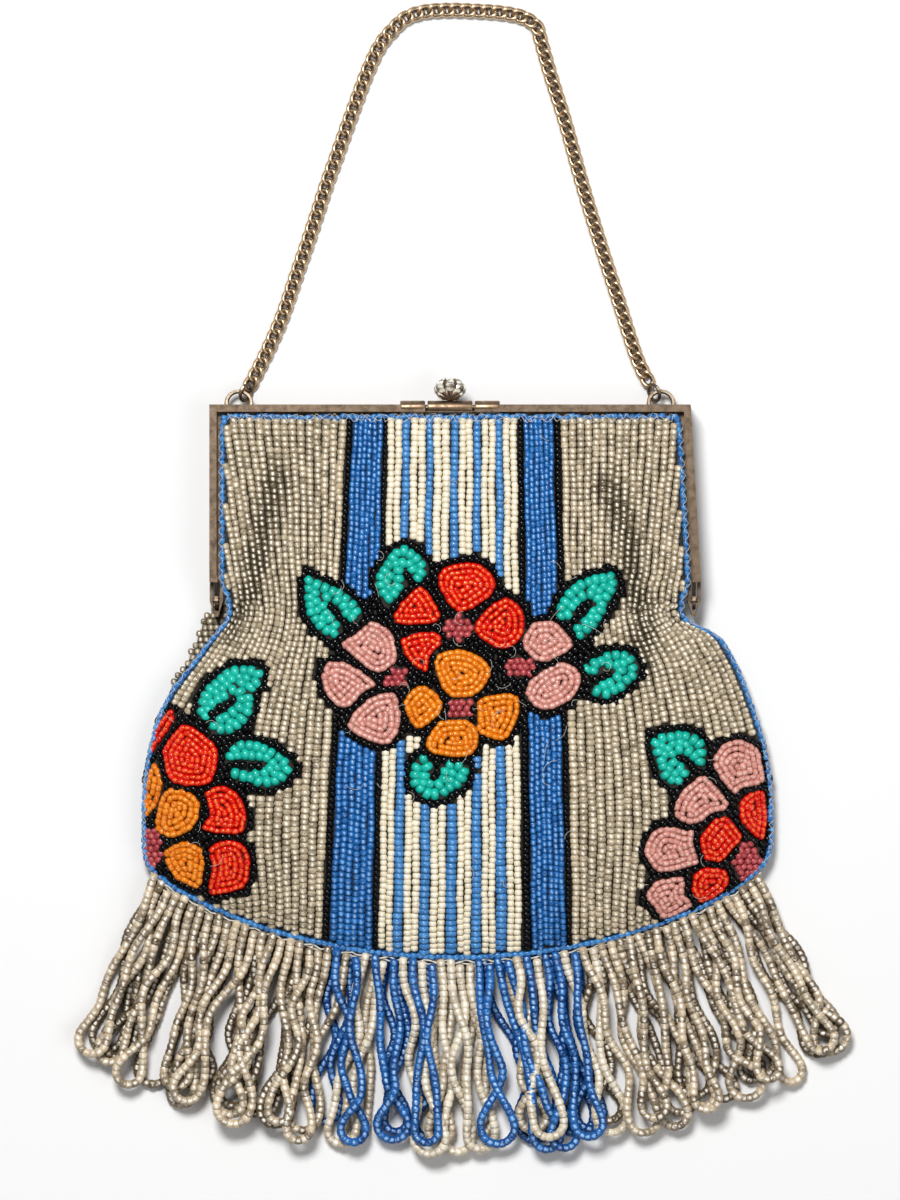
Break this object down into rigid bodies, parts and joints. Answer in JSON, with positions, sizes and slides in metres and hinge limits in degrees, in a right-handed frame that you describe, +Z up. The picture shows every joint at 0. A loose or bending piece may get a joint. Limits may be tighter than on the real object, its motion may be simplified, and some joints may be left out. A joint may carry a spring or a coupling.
{
  "type": "beaded flapper purse",
  "caption": "Frame purse of beaded cloth with a square-cornered hinged metal frame, tipping clasp lever, curb chain handle and looped bead fringe, lying flat on its back.",
  "frame": {"origin": "middle of the base of the purse's box, on the surface that it lies on", "axes": "+X along the frame's top rail, +Y from the fringe to the chain, +Z up, out of the front of the bag"},
  "size_m": [0.1896, 0.2874, 0.015],
  "materials": {
    "frame_metal": "aged brass, browned in the corners and rubbed bright along the edges",
    "chain_metal": "gilt brass, bright on the links and dark between them",
    "cut_stones": "fluted metal knob set with small clear cut stones",
    "silver_beads": "glossy translucent grey-beige glass seed beads on cloth",
    "cream_beads": "pearly cream glass seed beads",
    "blue_beads": "glossy cobalt glass seed beads",
    "black_beads": "glossy black glass seed beads",
    "turquoise_beads": "opaque turquoise glass beads",
    "petal_beads": "fine red, orange, pink and rose glass beads for the petals",
    "fringe_beads": "strands of grey, cream and cobalt glass seed beads",
    "cloth": "woven cotton ground under the beads",
    "thread": "fine white sewing thread"
  },
  "bodies": {
    "root": {"frame_front": "frame_metal", "frame_back": "frame_metal", "hinge_pin_left": "frame_metal", "hinge_pin_right": "frame_metal", "clasp_pin": "frame_metal", "ring_left": "chain_metal", "ring_right": "chain_metal", "end_link_left": "chain_metal", "end_link_right": "chain_metal", "chain": "chain_metal", "bag_front": "silver_beads", "bag_back": "silver_beads", "fringe": "fringe_beads"},
    "clasp": {"clasp_lever": "frame_metal", "clasp_knob": "cut_stones"}
  },
  "joints": [
    {"name": "clasp_hinge", "type": "hinge", "parent": "root", "child": "clasp", "pos_m": [-0.00206, 0.04396, 0.0094], "axis": [1, 0, 0], "range_deg": [0, 35]}
  ]
}
